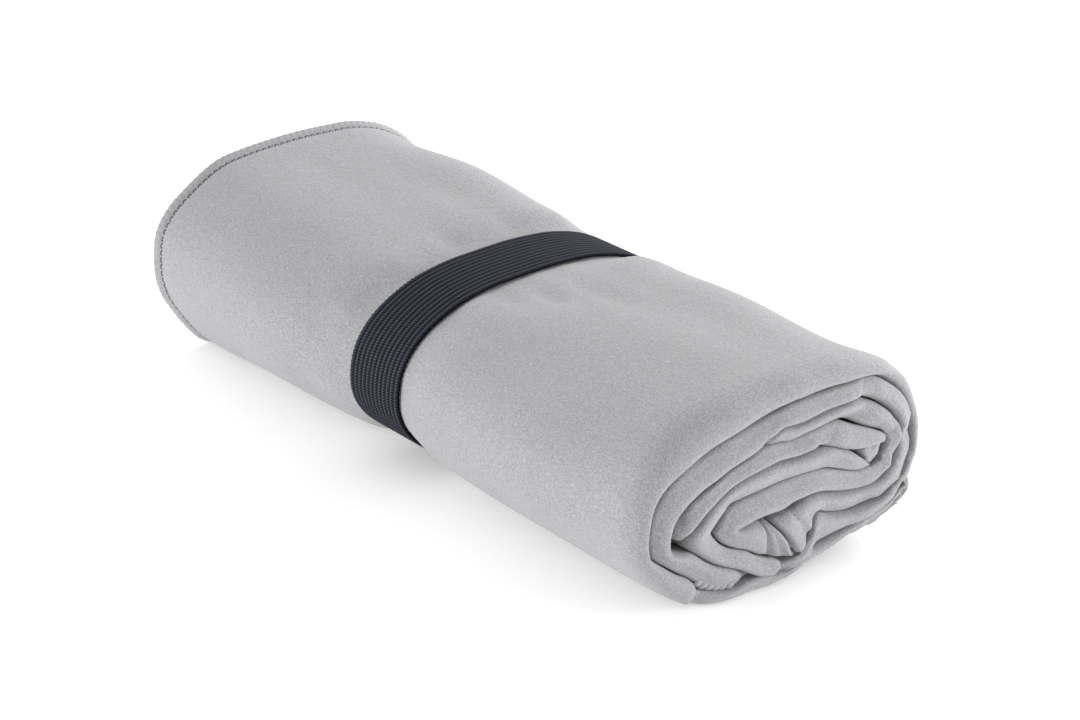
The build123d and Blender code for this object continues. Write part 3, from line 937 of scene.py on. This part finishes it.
def knit(name):
    """Dark knitted elastic: one chain of slanting stitches along each rib, with painted shade darkening
    the grooves between the ribs.
    """
    material, tree, shader = node_tree(name)
    split = tree.nodes.new("ShaderNodeSeparateXYZ")
    tree.links.new(tree.nodes.new("ShaderNodeTexCoord").outputs["UV"], split.inputs[0])
    across = math_node(tree, "MULTIPLY", split.outputs[1], float(UV_UNIT))
    rib_start = math_node(tree, "FLOOR", across)
    stagger = math_node(tree, "MULTIPLY", rib_start, KNIT_STAGGER)
    along = math_node(tree, "MULTIPLY", split.outputs[0], UV_UNIT / KNIT_STITCH)
    along = math_node(tree, "ADD", along, stagger)
    in_rib = math_node(tree, "FRACT", across)
    from_crest = math_node(tree, "ABSOLUTE", math_node(tree, "SUBTRACT", in_rib, 0.5))
    slant = math_node(tree, "MULTIPLY", in_rib, KNIT_SLANT)
    phase = math_node(tree, "MULTIPLY", math_node(tree, "ADD", along, slant), 2 * math.pi)
    wave = math_node(tree, "ADD", math_node(tree, "MULTIPLY", math_node(tree, "SINE", phase), 0.5), 0.5)
    crest = math_node(tree, "SUBTRACT", 1.0, math_node(tree, "MULTIPLY", from_crest, 2.0))
    stitch = math_node(tree, "MULTIPLY", math_node(tree, "POWER", wave, 1.2),
                       math_node(tree, "POWER", crest, 0.5))
    place = object_place(tree)
    fibre = noise(tree, place, 2600, 4, 0.7)
    # Painted shade: groove darkens the colour towards the grooves between the ribs, and the stitches
    # fade there too.
    groove = math_node(tree, "POWER", crest, 0.7)
    value = math_node(tree, "ADD", math_node(tree, "MULTIPLY", stitch, 0.38),
                      math_node(tree, "ADD", math_node(tree, "MULTIPLY", groove, 0.36),
                                math_node(tree, "MULTIPLY", fibre, 0.34)))
    colour = ramp(tree, value, [(0.18, (0.003, 0.0035, 0.0055)), (0.45, (0.015, 0.016, 0.0225)),
                                (0.95, (0.072, 0.075, 0.094))])
    tree.links.new(colour, shader.inputs["Base Color"])
    shader.inputs["Roughness"].default_value = 0.9
    shader.inputs["Specular IOR Level"].default_value = 0.12
    bump(tree, shader, value, 0.0003, 0.8)
    return material


def rubber(name):
    """Drawn rubber thread with a dusting of talc."""
    material, tree, shader = node_tree(name)
    place = object_place(tree)
    talc = noise(tree, place, 1800, 3, 0.6)
    tree.links.new(ramp(tree, talc, [(0.35, (0.10, 0.095, 0.09)), (0.7, (0.2, 0.195, 0.19))]),
                   shader.inputs["Base Color"])
    shader.inputs["Roughness"].default_value = 0.6
    bump(tree, shader, talc, 0.00005, 0.5)
    return material


def backdrop(name):
    """Pale matt paper with the faintest grain, which also glows faintly: painted light that whitens the
    floor and lights the roll from below.
    """
    material, tree, shader = node_tree(name)
    place = object_place(tree)
    grain = noise(tree, place, 300, 3, 0.6)
    tree.links.new(ramp(tree, grain, [(0.3, grey(0.955)), (0.7, grey(0.97))]),
                   shader.inputs["Base Color"])
    shader.inputs["Roughness"].default_value = 1.0
    shader.inputs["Specular IOR Level"].default_value = 0.0
    # Painted light: the paper glows, softening the contact shadows and brightening the roll's lower
    # faces.
    shader.inputs["Emission Color"].default_value = (1, 1, 1, 1)
    shader.inputs["Emission Strength"].default_value = 0.22
    return material


LOOPER = thread("overlock_looper_thread", (0.295, 0.297, 0.305))
# Painted shade, in part: the long edges' needle thread is near-black, much darker than the short edges'
# one. Its line stands both for the thread's own dark tone and for the shade in the crevices between the
# loopers' scallops.
NEEDLE_AND_SCALLOP_SHADE = thread("needle_thread_and_scallop_shade", (0.05, 0.051, 0.055))
PALE_NEEDLE = thread("overlock_needle_thread_pale", (0.20, 0.202, 0.208))
PIECES = [
    (towel, suede("suede_microfibre"), "roll", "suede_cloth", ["towel_cloth"]),
    (long_loopers, LOOPER, "roll", "overlock_thread", ["long_edge_looper_threads"]),
    (long_needle, NEEDLE_AND_SCALLOP_SHADE, "roll", "overlock_thread", ["long_edge_needle_thread"]),
    (short_loopers, LOOPER, "roll", "overlock_thread", ["short_edge_looper_threads"]),
    (short_needle, PALE_NEEDLE, "roll", "overlock_thread", ["short_edge_needle_thread"]),
    (band_tape, knit("knitted_elastic"), "band", "elastic_knit", ["band_knit_tape"]),
    (band_rubber, rubber("rubber_thread"), "band", "elastic_rubber", ["band_rubber_threads"]),
    (band_stitches, thread("band_sewing_thread", (0.02, 0.021, 0.027)), "band", "band_thread",
     ["band_join_thread"]),
]
for piece, material, body, slot, nodes in PIECES:
    piece.data.materials.append(material)
    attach(piece, body)
    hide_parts(*nodes)

# ---------------- stage and light
floor_mesh = bpy.data.meshes.new("floor")
floor_mesh.from_pydata([(-4, -4, 0), (4, -4, 0), (4, 4, 0), (-4, 4, 0)], [], [(0, 1, 2, 3)])
floor = bpy.data.objects.new("floor", floor_mesh)
floor.data.materials.append(backdrop("glowing_pale_paper"))
bpy.context.collection.objects.link(floor)


def light_tent(dim, bright, towards):
    """A white tent around the set, brighter on one side."""
    world = bpy.data.worlds.new("light_tent")
    bpy.context.scene.world = world
    world.use_nodes = True
    tree = world.node_tree
    direction = tree.nodes.new("ShaderNodeTexCoord").outputs["Generated"]
    product = tree.nodes.new("ShaderNodeVectorMath")
    product.operation = "DOT_PRODUCT"
    product.inputs[1].default_value = Vector(towards).normalized()
    tree.links.new(direction, product.inputs[0])
    level = tree.nodes.new("ShaderNodeMapRange")
    level.interpolation_type = "SMOOTHSTEP"
    for socket, value in zip(("From Min", "From Max", "To Min", "To Max"), (-0.6, 0.9, dim, bright)):
        level.inputs[socket].default_value = value
    tree.links.new(product.outputs["Value"], level.inputs["Value"])
    tree.links.new(level.outputs["Result"], tree.nodes["Background"].inputs["Strength"])
    tree.nodes["Background"].inputs["Color"].default_value = (1, 1, 1, 1)


def softbox(name, place, size, power):
    """A square area light that faces the roll."""
    light = bpy.data.lights.new(name, "AREA")
    light.size = size
    light.energy = power
    lamp = bpy.data.objects.new(name, light)
    lamp.location = place
    lamp.rotation_mode = "QUATERNION"
    lamp.rotation_quaternion = (Vector((0, 0, 0.02)) - Vector(place)).to_track_quat("-Z", "Y")
    bpy.context.collection.objects.link(lamp)


light_tent(0.45, 0.90, (-0.65, -0.30, 0.40))
softbox("left_softbox", (-0.3, -1.5, 0.20), 0.9, 27)
softbox("back_softbox", (-0.5, 1.5, 0.9), 0.8, 26)
softbox("right_softbox", (1.05, 1.05, 0.06), 0.9, 38)
bpy.context.scene.view_settings.view_transform = "Standard"

make_camera()
